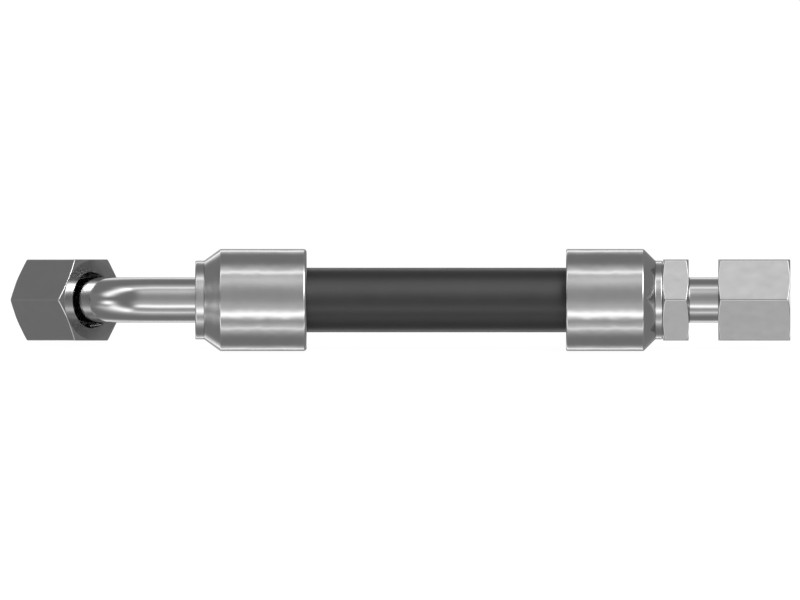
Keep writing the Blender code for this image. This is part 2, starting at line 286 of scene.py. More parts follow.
def cover_section(turn):
    """The cover's section, with the slight unevenness of cured rubber on its outside."""
    inner_r = HOSE_BORE_R + LINER_WALL + BRAID_WALL + 2 * FIT_GAP
    rings = round((HOSE_RIGHT_END - HOSE_LEFT_END) / COVER_RING_SPACING)
    points = [(HOSE_LEFT_END, inner_r, 0.0), (HOSE_LEFT_END, HOSE_OUTER_R - COVER_EDGE_R, 1.0)]
    for ring in range(1, rings):
        along = HOSE_LEFT_END + (HOSE_RIGHT_END - HOSE_LEFT_END) * ring / rings
        spot = Vector((along, HOSE_OUTER_R * math.cos(turn), HOSE_OUTER_R * math.sin(turn)))
        points.append((along, HOSE_OUTER_R + COVER_UNEVEN * noise.noise(spot / COVER_UNEVEN_SIZE), 0.0))
    return points + [(HOSE_RIGHT_END, HOSE_OUTER_R - COVER_EDGE_R, 1.0), (HOSE_RIGHT_END, inner_r, 0.0)]


cover = turned("hose_cover_rubber", cover_section, straight, round_turns(ROUND_COLUMNS), cover_rubber)
fit(cover, "hose_and_fittings", "hose_cover")

# Wire braid
# Brass-coated steel wire under the cover, eight wires to a strand and twelve strands each way, woven over
# two and under two. It lies at the angle at which pressure neither stretches nor shortens the hose.
BRAID_STRANDS = 12
BRAID_WIRES = 8
BRAID_ANGLE = math.radians(54.7)
BRAID_RELIEF = 0.3
BRAID_FLAT_SHARE = 0.4
BRAID_RING_SPACING = 0.75
BRAID_WIRE_DEPTH = 0.08
BRAID_CROSSINGS = 4
BRAID_OVER = 2
BRASS_DARK = (0.36, 0.31, 0.22, 1)
BRASS_LIGHT = (0.52, 0.46, 0.34, 1)
braid_inner_r = HOSE_BORE_R + LINER_WALL + FIT_GAP
braid_outer_r = braid_inner_r + BRAID_WALL
braid_pitch = math.tau * braid_outer_r / math.tan(BRAID_ANGLE)
braid_wire, tree, shader = blank("braid_wire", metallic=1.0, roughness=0.3)
position = own_place(tree)
parts = add(tree, "ShaderNodeSeparateXYZ", {"Vector": position}).outputs
round_share = sum_up(tree, "DIVIDE", sum_up(tree, "ARCTAN2", parts["Z"], parts["Y"]), math.tau)
long_share = sum_up(tree, "DIVIDE", parts["X"], braid_pitch)
one_way = sum_up(tree, "MULTIPLY", sum_up(tree, "ADD", round_share, long_share), BRAID_STRANDS)
other_way = sum_up(tree, "MULTIPLY", sum_up(tree, "SUBTRACT", round_share, long_share), BRAID_STRANDS)
cells = sum_up(tree, "ADD", sum_up(tree, "FLOOR", one_way), sum_up(tree, "FLOOR", other_way))
crossing = sum_up(tree, "FRACT", sum_up(tree, "DIVIDE", cells, BRAID_CROSSINGS))
under = sum_up(tree, "GREATER_THAN", crossing, (BRAID_OVER - 0.5) / BRAID_CROSSINGS)
on_top = add(tree, "ShaderNodeMix", {0: under, 2: one_way, 3: other_way}, data_type="FLOAT").outputs[0]
across_wires = sum_up(tree, "MULTIPLY", on_top, BRAID_WIRES * math.pi)
wire = sum_up(tree, "ABSOLUTE", sum_up(tree, "SINE", across_wires))
tarnish = use(tree, patches, {"Position": position, "Size": 3.0, "Detail": 3.0})
tree.links.new(shades(tree, tarnish["Mask"], BRASS_DARK, BRASS_LIGHT), shader.inputs["Base Color"])
tree.links.new(spread(tree, tarnish["Mask"], low=0.24, high=0.38), shader.inputs["Roughness"])
raise_surface(tree, shader, sum_up(tree, "MULTIPLY", wire, BRAID_WIRE_DEPTH))


def woven(one_way, other_way):
    """How high the upper strand stands at a crossing, from 0 to 1; a strand goes over two and under two."""
    step = (math.floor(one_way) + math.floor(other_way)) % BRAID_CROSSINGS
    across, lengthwise = (one_way, other_way) if step < BRAID_OVER else (other_way, one_way)
    crown = math.sqrt(1 - (2 * (across % 1) - 1) ** 2)
    run = (step % BRAID_OVER + lengthwise % 1) / BRAID_OVER
    return crown * (BRAID_FLAT_SHARE + (1 - BRAID_FLAT_SHARE) * math.sin(math.pi * run))


def braid_section(turn):
    """The braid's section, with its strands' crowns on the outside."""
    rings = round((HOSE_RIGHT_END - HOSE_LEFT_END) / BRAID_RING_SPACING)
    points = [(HOSE_LEFT_END, braid_inner_r, 0.0)]
    for ring in range(rings + 1):
        along = HOSE_LEFT_END + (HOSE_RIGHT_END - HOSE_LEFT_END) * ring / rings
        one_way = BRAID_STRANDS * (turn / math.tau + along / braid_pitch)
        other_way = BRAID_STRANDS * (turn / math.tau - along / braid_pitch)
        points.append((along, braid_outer_r - BRAID_RELIEF * (1 - woven(one_way, other_way)), 0.0))
    return points + [(HOSE_RIGHT_END, braid_inner_r, 0.0)]


braid = turned("hose_braid_woven", braid_section, straight, round_turns(ROUND_COLUMNS), braid_wire)
fit(braid, "hose_and_fittings", "hose_wire_braid")

# Hose liner
# The inner tube of oil-proof black rubber, extruded over a mandrel, so its bore is smooth and faintly
# streaked lengthwise. The barbed tails are pushed into it.
LINER_EDGE_R = 0.2
LINER_STREAK_DEPTH = 0.01
LINER_STREAK_STRETCH = (0.04, 1.0, 1.0)
LINER_DARK = (0.012, 0.012, 0.012, 1)
LINER_LIGHT = (0.02, 0.02, 0.02, 1)


def multiply_place(tree, position, factors):
    """Coordinates squeezed or stretched along each axis."""
    return add(tree, "ShaderNodeVectorMath", {0: position, 1: factors}, operation="MULTIPLY").outputs[0]


liner_rubber, tree, shader = blank("liner_rubber", metallic=0.0, roughness=0.42)
position = own_place(tree)
bloom = use(tree, patches, {"Position": position, "Size": 6.0, "Detail": 3.0})
stretched = multiply_place(tree, position, LINER_STREAK_STRETCH)
streak_inputs = {"Position": stretched, "Size": 0.5, "Detail": 1.0, "Depth": LINER_STREAK_DEPTH}
streak = use(tree, patches, streak_inputs)
tree.links.new(shades(tree, bloom["Mask"], LINER_DARK, LINER_LIGHT), shader.inputs["Base Color"])
tree.links.new(spread(tree, bloom["Mask"], low=0.36, high=0.48), shader.inputs["Roughness"])
raise_surface(tree, shader, streak["Height"])
liner_section = outline(
    [
        (HOSE_LEFT_END, HOSE_BORE_R, LINER_EDGE_R),
        (HOSE_LEFT_END, HOSE_BORE_R + LINER_WALL, LINER_EDGE_R),
        (HOSE_RIGHT_END, HOSE_BORE_R + LINER_WALL, LINER_EDGE_R),
        (HOSE_RIGHT_END, HOSE_BORE_R, LINER_EDGE_R),
    ]
)
liner = turned(
    "hose_liner_tube", lambda turn: liner_section, straight, round_turns(ROUND_COLUMNS), liner_rubber
)
fit(liner, "hose_and_fittings", "hose_liner")

# Inserts
# Turned from steel bar and zinc plated. The tail has barbs that the hose is pushed over, and the lock
# collar keeps it in the ferrule. The left one is bent by 45 degrees, the right one has a hexagon body.
OIL_WAY_R = 5.0
TUBE_R = 7.5
HOSE_MOUTH_AT = 43.1
TAIL_START = HOSE_MOUTH_AT + 1.5
TAIL_ROOT_R = 5.95
BARB_DEPTH = 0.4
BARB_PITCH = 4.2
BARB_BACK = 0.4
TAIL_TIP_CHAMFER = 0.6
LOCK_COLLAR_R = 9.6
LOCK_COLLAR_LENGTH = 3.2
LEFT_LIP_AT = 77.2
RIGHT_LIP_AT = 72.8
BODY_AT = 75.3
BODY_END = 83.9
ACROSS_FLATS = 27.0
HEX_FACE_R = 13.3
HEX_CHAMFER_SLOPE = math.tan(math.radians(18))
HEX_CORNER_R = 0.8
HEX_EDGE_R = 0.35
FLAT_SUPPORT = 0.985
FLAT_COLUMNS = 22
CORNER_COLUMNS = 6
BEND_COLUMNS = 30
HEAD_BACK = 4.774
HEAD_SHOULDER = 7.164
HEAD_R = 9.89
CONE_BASE = 9.664
CONE_BASE_R = 8.5
CONE_TIP = 19.664
CONE_SLOPE = math.tan(math.radians(12))
SEAL_PLACE = 12.564
SEAL_GROOVE_HALF = 1.15
SEAL_GROOVE_FLOOR_R = 6.45
MACHINED_EDGE_R = 0.25
TAIL_TIP_R = 0.1
BARB_EDGE_R = 0.08
HEAD_ROOT_R = 0.4
BODY_ROOT_R = 0.4
CONE_ROOT_R = 0.2
SEAL_GROOVE_EDGE_R = 0.12
SEAL_GROOVE_ROOT_R = 0.2
CONE_RIM_R = 0.4
OIL_WAY_RIM_R = 0.3
OIL_WAY_START_R = 0.2

# Painted highlight on outer roundings and painted shade in inner corners, both broken up into patches
edge_light_inputs = {"Edge": 0.0, "Position": (0.0, 0.0, 0.0), "Patchiness": 0.5}
edge_light, given, wanted = effect("painted_edge_light", edge_light_inputs, ("Painted Highlight", "Painted Shade"))
spots = use(edge_light, patches, {"Position": given["Position"], "Size": 1.6, "Detail": 3.0})
kept = sum_up(edge_light, "SUBTRACT", 1.0, sum_up(edge_light, "MULTIPLY", spots["Mask"], given["Patchiness"]))
outer = add(edge_light, "ShaderNodeClamp", {"Value": given["Edge"]}).outputs[0]
turned_over = sum_up(edge_light, "MULTIPLY", given["Edge"], -1.0)
inner = add(edge_light, "ShaderNodeClamp", {"Value": turned_over}).outputs[0]
# Painted highlight where the edge is an outer rounding, painted shade where it is an inner one
edge_light.links.new(sum_up(edge_light, "MULTIPLY", outer, kept), wanted["Painted Highlight"])
edge_light.links.new(sum_up(edge_light, "MULTIPLY", inner, kept), wanted["Painted Shade"])

# Fine grooves that a lathe tool leaves, one after another along the section that it has travelled
lathe_inputs = {"Travel": 0.0, "Feed": 0.1, "Depth": 0.001}
lathe_marks, given, wanted = effect("lathe_marks", lathe_inputs, ("Height",))
passes = sum_up(lathe_marks, "DIVIDE", given["Travel"], given["Feed"])
noise_inputs = {"W": passes, "Scale": 1.0, "Detail": 1.0}
groove = add(lathe_marks, "ShaderNodeTexNoise", noise_inputs, noise_dimensions="1D")
groove_off = sum_up(lathe_marks, "SUBTRACT", groove.outputs["Fac"], 0.5)
lathe_marks.links.new(sum_up(lathe_marks, "MULTIPLY", groove_off, given["Depth"]), wanted["Height"])


PLATE_BLOTCH = 0.06
# Painted highlight on outer roundings and painted shade in inner corners
EDGE_HIGHLIGHT_BRIGHTER = 1.15
CORNER_SHADE_DARKER = 0.55
DULLNESS_BLOTCH = 0.2
UNPOLISHED_DULLER = 1.3
POLISH_FADE = 0.4


def grey_of(value):
    """A neutral colour."""
    return value, value, value, 1


def plated_steel(name, grey, roughness, feed, marks_depth, wave_size, wave_depth, polished_from=0.0):
    """Zinc plate on machined steel, with tool marks, a painted highlight on edges and painted shade in
    corners.

    Where polished_from is given, the surface is duller under that radius, which the polish doesn't reach.
    """
    material, tree, shader = blank(name, 1.0, roughness)
    position = own_place(tree)
    edge = add(tree, "ShaderNodeAttribute", {}, attribute_name="edge").outputs["Fac"]
    travel = add(tree, "ShaderNodeAttribute", {}, attribute_name="travel").outputs["Fac"]
    blotch = use(tree, patches, {"Position": position, "Size": 5.0, "Detail": 4.0})
    wave = use(tree, patches, {"Position": position, "Size": wave_size, "Detail": 1.0, "Depth": wave_depth})
    marks = use(tree, lathe_marks, {"Travel": travel, "Feed": feed, "Depth": marks_depth})
    edge_light_paint = use(tree, edge_light, {"Edge": edge, "Position": position, "Patchiness": 0.7})
    darkest = grey_of(grey * (1 - PLATE_BLOTCH))
    plate = shades(tree, blotch["Mask"], darkest, grey_of(grey * (1 + PLATE_BLOTCH)))
    # Painted highlight: a brighter colour on the outer roundings
    highlighted = shades(tree, edge_light_paint["Painted Highlight"], plate, grey_of(grey * EDGE_HIGHLIGHT_BRIGHTER))
    # Painted shade: a darker colour in the inner corners
    corner_shaded = shades(tree, edge_light_paint["Painted Shade"], highlighted, grey_of(grey * CORNER_SHADE_DARKER))
    tree.links.new(corner_shaded, shader.inputs["Base Color"])
    smoothest = roughness * (1 - DULLNESS_BLOTCH)
    dullness = spread(tree, blotch["Mask"], smoothest, roughness * (1 + DULLNESS_BLOTCH))
    if polished_from:
        across = multiply_place(tree, position, (0.0, 1.0, 1.0))
        radius = add(tree, "ShaderNodeVectorMath", {0: across}, operation="LENGTH").outputs["Value"]
        limits = {"Value": radius, "From Min": polished_from - POLISH_FADE, "From Max": polished_from}
        limits.update({"To Min": UNPOLISHED_DULLER, "To Max": 1.0})
        dullness = sum_up(tree, "MULTIPLY", dullness, add(tree, "ShaderNodeMapRange", limits).outputs[0])
    tree.links.new(dullness, shader.inputs["Roughness"])
    raise_surface(tree, shader, sum_up(tree, "ADD", marks["Height"], wave["Height"]))
    return material


insert_steel = plated_steel(
    "insert_steel", grey=0.5, roughness=0.13, feed=0.12, marks_depth=0.0006, wave_size=5.0, wave_depth=0.025
)


def tail(lip_at):
    """Corners of an insert from its barbed tip to the far side of its lock collar."""
    collar_at = lip_at - FIT_GAP - LOCK_COLLAR_LENGTH
    corners = [
        (TAIL_START, TAIL_ROOT_R - TAIL_TIP_CHAMFER / 2, TAIL_TIP_R),
        (TAIL_START + TAIL_TIP_CHAMFER, TAIL_ROOT_R, 0),
    ]
    first_barb = TAIL_START + TAIL_TIP_CHAMFER
    for number in range(1, int((collar_at - first_barb) / BARB_PITCH) + 1):
        crest_at = first_barb + number * BARB_PITCH - BARB_BACK
        corners.append((crest_at, TAIL_ROOT_R + BARB_DEPTH, BARB_EDGE_R))
        corners.append((crest_at + BARB_BACK, TAIL_ROOT_R, 0))
    return corners + [
        (collar_at, TAIL_ROOT_R, 0),
        (collar_at, LOCK_COLLAR_R, MACHINED_EDGE_R),
        (collar_at + LOCK_COLLAR_LENGTH, LOCK_COLLAR_R, MACHINED_EDGE_R),
        (collar_at + LOCK_COLLAR_LENGTH, TUBE_R, 0),
    ]


def head(nut_at):
    """Corners of the cone head in the nut, from its shoulder to the rim of the oil way."""
    groove_start = SEAL_PLACE - SEAL_GROOVE_HALF
    groove_end = SEAL_PLACE + SEAL_GROOVE_HALF
    start_r = CONE_BASE_R - (groove_start - CONE_BASE) * CONE_SLOPE
    end_r = CONE_BASE_R - (groove_end - CONE_BASE) * CONE_SLOPE
    tip_r = CONE_BASE_R - (CONE_TIP - CONE_BASE) * CONE_SLOPE
    return [
        (nut_at + HEAD_BACK, TUBE_R, HEAD_ROOT_R),
        (nut_at + HEAD_SHOULDER, HEAD_R, MACHINED_EDGE_R),
        (nut_at + CONE_BASE, HEAD_R, MACHINED_EDGE_R),
        (nut_at + CONE_BASE, CONE_BASE_R, CONE_ROOT_R),
        (nut_at + groove_start, start_r, SEAL_GROOVE_EDGE_R),
        (nut_at + groove_start, SEAL_GROOVE_FLOOR_R, SEAL_GROOVE_ROOT_R),
        (nut_at + groove_end, SEAL_GROOVE_FLOOR_R, SEAL_GROOVE_ROOT_R),
        (nut_at + groove_end, end_r, SEAL_GROOVE_EDGE_R),
        (nut_at + CONE_TIP, tip_r, CONE_RIM_R),
        (nut_at + CONE_TIP, OIL_WAY_R, OIL_WAY_RIM_R),
    ]


def bend_places(radius):
    """Corners through the elbow's bend, from its hose side to its nut side."""
    span = bend_end - bend_start
    return [(bend_start + span * step / BEND_COLUMNS, radius, 0) for step in range(BEND_COLUMNS + 1)]


left_section = outline(
    tail(LEFT_LIP_AT)
    + bend_places(TUBE_R)
    + head(LEFT_NUT_AT)
    + bend_places(OIL_WAY_R)[::-1]
    + [(TAIL_START, OIL_WAY_R, OIL_WAY_START_R)]
)
left_insert = turned(
    "left_insert_bent", lambda turn: left_section, elbow, round_turns(ROUND_COLUMNS), insert_steel
)
fit(left_insert, "hose_and_fittings", "left_elbow_insert")

half_flat = ACROSS_FLATS / 2
corner_centre = (half_flat - HEX_CORNER_R) / math.cos(math.pi / 6)
flat_ends_at = math.atan2(corner_centre * math.sin(math.pi / 6), half_flat)


def hexagon_radius(turn):
    """Radius of a hexagon with rounded corners; a corner points along turn 0."""
    off_flat = abs(turn % (math.pi / 3) - math.pi / 6)
    if off_flat <= flat_ends_at:
        return half_flat / math.cos(off_flat)
    off_corner = math.pi / 6 - off_flat
    across = corner_centre * math.sin(off_corner)
    return corner_centre * math.cos(off_corner) + math.sqrt(HEX_CORNER_R**2 - across**2)


def hexagon_turns():
    """Turns for a hexagonal piece: even across each flat and close together round each corner."""
    flat = [-flat_ends_at + 2 * flat_ends_at * step / FLAT_COLUMNS for step in range(FLAT_COLUMNS + 1)]
    flat.insert(1, FLAT_SUPPORT * flat[0])
    flat.insert(-1, FLAT_SUPPORT * flat[-1])
    gap = math.pi / 3 - 2 * flat_ends_at
    corner = [flat_ends_at + gap * step / CORNER_COLUMNS for step in range(1, CORNER_COLUMNS)]
    turns = []
    for side in range(6):
        turns += [math.pi / 6 + side * math.pi / 3 + turn for turn in flat + corner]
    return turns + [turns[0] + math.tau]


def hexagon(start, end, turn):
    """Corners of a hexagon's outside at a turn, with a lathe-cut chamfer at both ends."""
    radius = hexagon_radius(turn)
    depth = (radius - HEX_FACE_R) * HEX_CHAMFER_SLOPE
    return [
        (start, HEX_FACE_R, HEX_EDGE_R),
        (start + depth, radius, HEX_EDGE_R),
        (end - depth, radius, HEX_EDGE_R),
        (end, HEX_FACE_R, HEX_EDGE_R),
    ]


def right_section(turn):
    """The right insert's section: only its hexagon body changes with the turn."""
    body = [(BODY_AT, TUBE_R, 0)] + hexagon(BODY_AT, BODY_END, turn) + [(BODY_END, TUBE_R, BODY_ROOT_R)]
    way_start = [(TAIL_START, OIL_WAY_R, OIL_WAY_START_R)]
    return outline(tail(RIGHT_LIP_AT) + body + head(RIGHT_NUT_AT) + way_start)


right_insert = turned("right_insert_turned", right_section, straight, hexagon_turns(), insert_steel)
fit(right_insert, "hose_and_fittings", "right_straight_insert")

# Seal rings
# A round ring of black rubber sits in the groove of each cone head and stands a little proud of it. It is
# moulded in two halves, which leaves a faint flash line round its outside and its inside.
SEAL_RING_R = 7.6
SEAL_CORD_R = 0.85
SEAL_CORD_STEPS = 32
SEAL_FLASH = 0.025
SEAL_DARK = (0.01, 0.01, 0.01, 1)
SEAL_LIGHT = (0.018, 0.018, 0.018, 1)
seal_rubber, tree, shader = blank("seal_rubber", metallic=0.0, roughness=0.35)
position = own_place(tree)
bloom = use(tree, patches, {"Position": position, "Size": 2.5, "Detail": 3.0})
grain = use(tree, patches, {"Position": position, "Size": 0.15, "Detail": 1.0, "Depth": 0.003})
tree.links.new(shades(tree, bloom["Mask"], SEAL_DARK, SEAL_LIGHT), shader.inputs["Base Color"])
tree.links.new(spread(tree, bloom["Mask"], low=0.28, high=0.42), shader.inputs["Roughness"])
raise_surface(tree, shader, grain["Height"])


def seal_ring(name, path, nut_at, node):
    """Mould one seal ring and put it in its groove."""
    points = []
    for step in range(SEAL_CORD_STEPS):
        angle = math.tau * step / SEAL_CORD_STEPS
        on_flash = step % (SEAL_CORD_STEPS // 2) == SEAL_CORD_STEPS // 4
        cord_r = SEAL_CORD_R + (SEAL_FLASH if on_flash else 0.0)
        along = nut_at + SEAL_PLACE + cord_r * math.cos(angle)
        points.append((along, SEAL_RING_R + cord_r * math.sin(angle), 0.0))
    piece = turned(name, lambda turn: points, path, round_turns(ROUND_COLUMNS), seal_rubber)
    fit(piece, "hose_and_fittings", node)


seal_ring("left_seal_ring_moulded", elbow, LEFT_NUT_AT, "left_seal_ring")
seal_ring("right_seal_ring_moulded", straight, RIGHT_NUT_AT, "right_seal_ring")

# Ferrules
# Crimp shells turned from steel and zinc plated, smooth outside, with sharp teeth inside that bite
# into the cover. The lip at the outer end locks behind the insert's collar.
FERRULE_R = 17.0
FERRULE_COLLAR_R = 13.1
FERRULE_COLLAR_EDGE_R = 0.5
LEFT_MOUTH_EDGE_R = 1.1
RIGHT_MOUTH_EDGE_R = 0.6
LEFT_CONE_EDGE_R = 0.6
RIGHT_CONE_EDGE_R = 0.9
FERRULE_MOUTH_CHAMFER = 0.8
LEFT_CONE_AT = 71.8
LEFT_FERRULE_END = 80.2
RIGHT_CONE_AT = 68.9
RIGHT_FERRULE_END = 75.27
TOOTH_DEPTH = 1.0
TOOTH_PITCH = 4.6
TOOTH_TIP = 0.6
TOOTH_BACK = 0.5
TOOTH_EDGE_R = 0.08
FERRULE_BORE_EDGE_R = 0.2
FERRULE_POLISH_DEPTH = 0.7
ferrule_steel = plated_steel(
    "ferrule_steel",
    grey=0.52,
    roughness=0.13,
    feed=0.15,
    marks_depth=0.0006,
    wave_size=5.0,
    wave_depth=0.085,
    polished_from=FERRULE_R - FERRULE_POLISH_DEPTH,
)


def ferrule(name, path, edges, places, node):
    """Turn one ferrule and put it in place.

    Edges are the roundings of its mouth and of its cone, and places are its cone, its lip and its end.
    """
    cone_at, lip_at, end = places
    tip_r = HOSE_OUTER_R + FIT_GAP
    root_r = tip_r + TOOTH_DEPTH
    chamber_end = lip_at - FIT_GAP - LOCK_COLLAR_LENGTH
    corners = [
        (HOSE_MOUTH_AT, tip_r + FERRULE_MOUTH_CHAMFER, FERRULE_BORE_EDGE_R),
        (HOSE_MOUTH_AT, FERRULE_R, edges[0]),
        (cone_at, FERRULE_R, edges[1]),
        (lip_at, FERRULE_COLLAR_R, FERRULE_COLLAR_EDGE_R),
        (end, FERRULE_COLLAR_R, FERRULE_COLLAR_EDGE_R),
        (end, TUBE_R + FIT_GAP, FERRULE_BORE_EDGE_R),
        (lip_at, TUBE_R + FIT_GAP, 0),
        (lip_at, LOCK_COLLAR_R + FIT_GAP, 0),
        (chamber_end, LOCK_COLLAR_R + FIT_GAP, 0),
        (chamber_end, root_r, 0),
    ]
    first_tooth = HOSE_MOUTH_AT + FERRULE_MOUTH_CHAMFER
    for number in reversed(range(int((chamber_end - first_tooth) / TOOTH_PITCH))):
        tip_end = first_tooth + TOOTH_TIP + number * TOOTH_PITCH
        corners.append((tip_end + TOOTH_BACK, root_r, 0))
        corners.append((tip_end, tip_r, TOOTH_EDGE_R))
        corners.append((tip_end - TOOTH_TIP, tip_r, 0))
    section = outline(corners)
    piece = turned(name, lambda turn: section, path, round_turns(ROUND_COLUMNS), ferrule_steel)
    fit(piece, "hose_and_fittings", node)


left_edges = (LEFT_MOUTH_EDGE_R, LEFT_CONE_EDGE_R)
left_places = (LEFT_CONE_AT, LEFT_LIP_AT, LEFT_FERRULE_END)
ferrule("left_ferrule_shell", elbow, left_edges, left_places, "left_ferrule")
right_edges = (RIGHT_MOUTH_EDGE_R, RIGHT_CONE_EDGE_R)
right_places = (RIGHT_CONE_AT, RIGHT_LIP_AT, RIGHT_FERRULE_END)
ferrule("right_ferrule_shell", straight, right_edges, right_places, "right_ferrule")

# Swivel nuts
# Forged or cut from hexagon bar, bored, threaded M22 x 1.5 and zinc plated with a satin finish. Each
# is slipped over the tube before the cone head is made, so it turns freely but can't come off.
NUT_LENGTH = 24.0
NUT_REAR_BORE_R = 9.15
NUT_REAR_WALL = 6.0
NUT_REAR_CHAMFER = 0.4
NUT_MOUTH_CHAMFER = 1.2
THREAD_CREST_R = 10.19
THREAD_ROOT_R = 11.0
THREAD_PITCH = 1.5
THREAD_CREST_HALF = 0.1875
THREAD_ROOT_HALF = 0.09375
FLANK_STEPS = 3
RELIEF_R = 11.15
RELIEF_END = 9.6
RELIEF_SLOPE = 1.7
NUT_SEAT_EDGE_R = 0.2
NUT_REAR_EDGE_R = 0.1
SPARE_PITCHES = 2
nut_steel = plated_steel(
    "nut_steel", grey=0.48, roughness=0.16, feed=0.3, marks_depth=0.0004, wave_size=6.0, wave_depth=0.055
)

flank = THREAD_PITCH / 2 - THREAD_CREST_HALF - THREAD_ROOT_HALF
thread_steps = [-THREAD_CREST_HALF]
for step in range(FLANK_STEPS + 1):
    thread_steps.append(THREAD_CREST_HALF + flank * step / FLANK_STEPS)
for step in range(FLANK_STEPS):
    thread_steps.append(THREAD_CREST_HALF + flank + 2 * THREAD_ROOT_HALF + flank * step / FLANK_STEPS)


def thread_radius(place):
    """Bore radius at a place within one pitch, measured from the middle of a crest."""
    off_crest = abs((place / THREAD_PITCH + 0.5) % 1 - 0.5) * THREAD_PITCH
    cut = min(max((off_crest - THREAD_CREST_HALF) / flank, 0), 1)
    return THREAD_CREST_R + cut * (THREAD_ROOT_R - THREAD_CREST_R)


def threaded_bore(nut_at, turn, hand):
    """Bore points from the mouth back to the relief, along a right-handed helix."""
    mouth = nut_at + NUT_LENGTH
    back = nut_at + RELIEF_END
    lead = hand * THREAD_PITCH * turn / math.tau
    pitches = int((mouth - back) / THREAD_PITCH) + 1 + SPARE_PITCHES
    points = []
    for number in reversed(range(-SPARE_PITCHES, pitches)):
        for step in reversed(thread_steps):
            place = number * THREAD_PITCH + step
            along = min(max(back + place + lead, back), mouth)
            chamfer_r = THREAD_CREST_R + NUT_MOUTH_CHAMFER - (mouth - along)
            relief_r = RELIEF_R - (along - back) * RELIEF_SLOPE
            points.append((along, max(thread_radius(place), chamfer_r, relief_r), 0.0))
    return points


def swivel_nut(name, path, nut_at, hand, body, node):
    """Machine one nut and put it in place."""
    mouth = nut_at + NUT_LENGTH
    seat_at = nut_at + NUT_REAR_WALL
    relief_start = seat_at + RELIEF_R - NUT_REAR_BORE_R

    def section(turn):
        """Corners from the relief back through the seat, round the outside and in at the mouth."""
        corners = [
            (nut_at + RELIEF_END, RELIEF_R, 0),
            (relief_start, RELIEF_R, 0),
            (seat_at, NUT_REAR_BORE_R, NUT_SEAT_EDGE_R),
            (nut_at + NUT_REAR_CHAMFER, NUT_REAR_BORE_R, NUT_REAR_EDGE_R),
            (nut_at, NUT_REAR_BORE_R + NUT_REAR_CHAMFER, NUT_REAR_EDGE_R),
        ]
        corners += hexagon(nut_at, mouth, turn)
        corners.append((mouth, THREAD_CREST_R + NUT_MOUTH_CHAMFER, 0))
        return outline(corners) + threaded_bore(nut_at, turn, hand)

    piece = turned(name, section, path, hexagon_turns(), nut_steel)
    fit(piece, body, node)


swivel_nut("left_nut_threaded", elbow, LEFT_NUT_AT, -1, "left_nut", "left_swivel_nut")
swivel_nut("right_nut_threaded", straight, RIGHT_NUT_AT, 1, "right_nut", "right_swivel_nut")

# Studio
# A white room as the camera sees it. The metal sees soft strip lights that run along the hose at fixed
# heights round it, a key light to their right, arcs of light at fixed angles off the line that runs
# square from the hose to the front, and one round spot to the left.
STUDIO_DARK = 0.28
# Name, height round the hose in degrees, width, strength, left end, right end and softness of the ends
STUDIO_STRIPS = [
    ("backdrop_far", 180.0, 30.0, 0.22, -0.6, 0.15, 0.2),
    ("upper_lamp", 65.4, 4.8, 0.87, -0.5, 0.65, 0.2),
    ("upper_lamp_spill", 72.2, 12.3, 0.50, -0.6, 0.65, 0.2),
    ("upper_glow", 45.8, 16.1, 0.60, -0.37, 0.65, 0.2),
    ("front_glow", 10.0, 28.7, 0.15, -0.42, 0.65, 0.2),
    ("lower_lamp", -33.3, 8.6, 1.65, -0.42, 0.65, 0.15),
    ("lower_lamp_spill", -18.4, 15.7, 0.37, -0.5, 0.65, 0.2),
    ("low_lamp", -67.6, 3.7, 0.47, -0.5, 0.65, 0.2),
    ("low_lamp_spill", -67.0, 15.6, 0.58, -0.9, 0.65, 0.1),
    ("key_box", 39.0, 23.0, 9.2, 0.2, 0.5, 0.2),
    ("backdrop_right", 176.0, 7.0, 1.6, 0.55, 0.75, 0.06),
    ("backdrop_right_low", -171.0, 6.0, 1.2, 0.3, 0.42, 0.1),
    ("left_wall", 0.0, 1000.0, 0.04, -1.2, -0.9, 0.06),
]
# Name, 1 above and -1 below, angle off the front in degrees, width, strength, both ends and softness
STUDIO_ARCS = [
    ("backdrop_above", 1, 146.2, 3.0, 0.95, -0.5, 0.12, 0.2),
    ("backdrop_above_glow", 1, 143.4, 10.7, 0.64, -0.5, 0.12, 0.2),
    ("backdrop_below", -1, 146.0, 3.0, 1.23, -0.5, 0.12, 0.2),
    ("backdrop_below_glow", -1, 139.2, 9.8, 0.54, -0.5, 0.12, 0.2),
    ("left_arc_above", 1, 67.0, 8.0, 1.8, -0.9, -0.42, 0.12),
    ("left_arc_below", -1, 64.5, 8.5, 1.35, -0.8, -0.42, 0.12),
]
ARC_DARK_BELOW = 0.12
ARC_FULL_ABOVE = 0.4
LEFT_SPOT_TOWARDS = (-0.87, 0.45, -0.2)
LEFT_SPOT_WIDTH = 7.5
LEFT_SPOT_STRENGTH = 2.2
front = -aside

strip_inputs = {"Height": 0.0, "Middle": 0.0, "Width": 10.0, "Strength": 1.0}
strip_light, given, wanted = effect("strip_light", strip_inputs, ("Light",))
away = sum_up(strip_light, "SUBTRACT", given["Height"], given["Middle"])
wrapped = add(strip_light, "ShaderNodeMath", {0: away, 1: 180.0, 2: -180.0}, operation="WRAP").outputs[0]
share = sum_up(strip_light, "DIVIDE", wrapped, given["Width"])
squared = sum_up(strip_light, "MULTIPLY", share, share)
fade = sum_up(strip_light, "EXPONENT", sum_up(strip_light, "MULTIPLY", squared, -1.0))
strip_light.links.new(sum_up(strip_light, "MULTIPLY", fade, given["Strength"]), wanted["Light"])

world = bpy.data.worlds.new("studio")
bpy.context.scene.world = world
world.use_nodes = True
tree = world.node_tree
tree.nodes.clear()
direction = add(tree, "ShaderNodeTexCoord", {}).outputs["Generated"]


def towards(vector):
    """How far the seen direction points along a fixed one."""
    dot = add(tree, "ShaderNodeVectorMath", {0: direction, 1: tuple(vector)}, operation="DOT_PRODUCT")
    return dot.outputs["Value"]


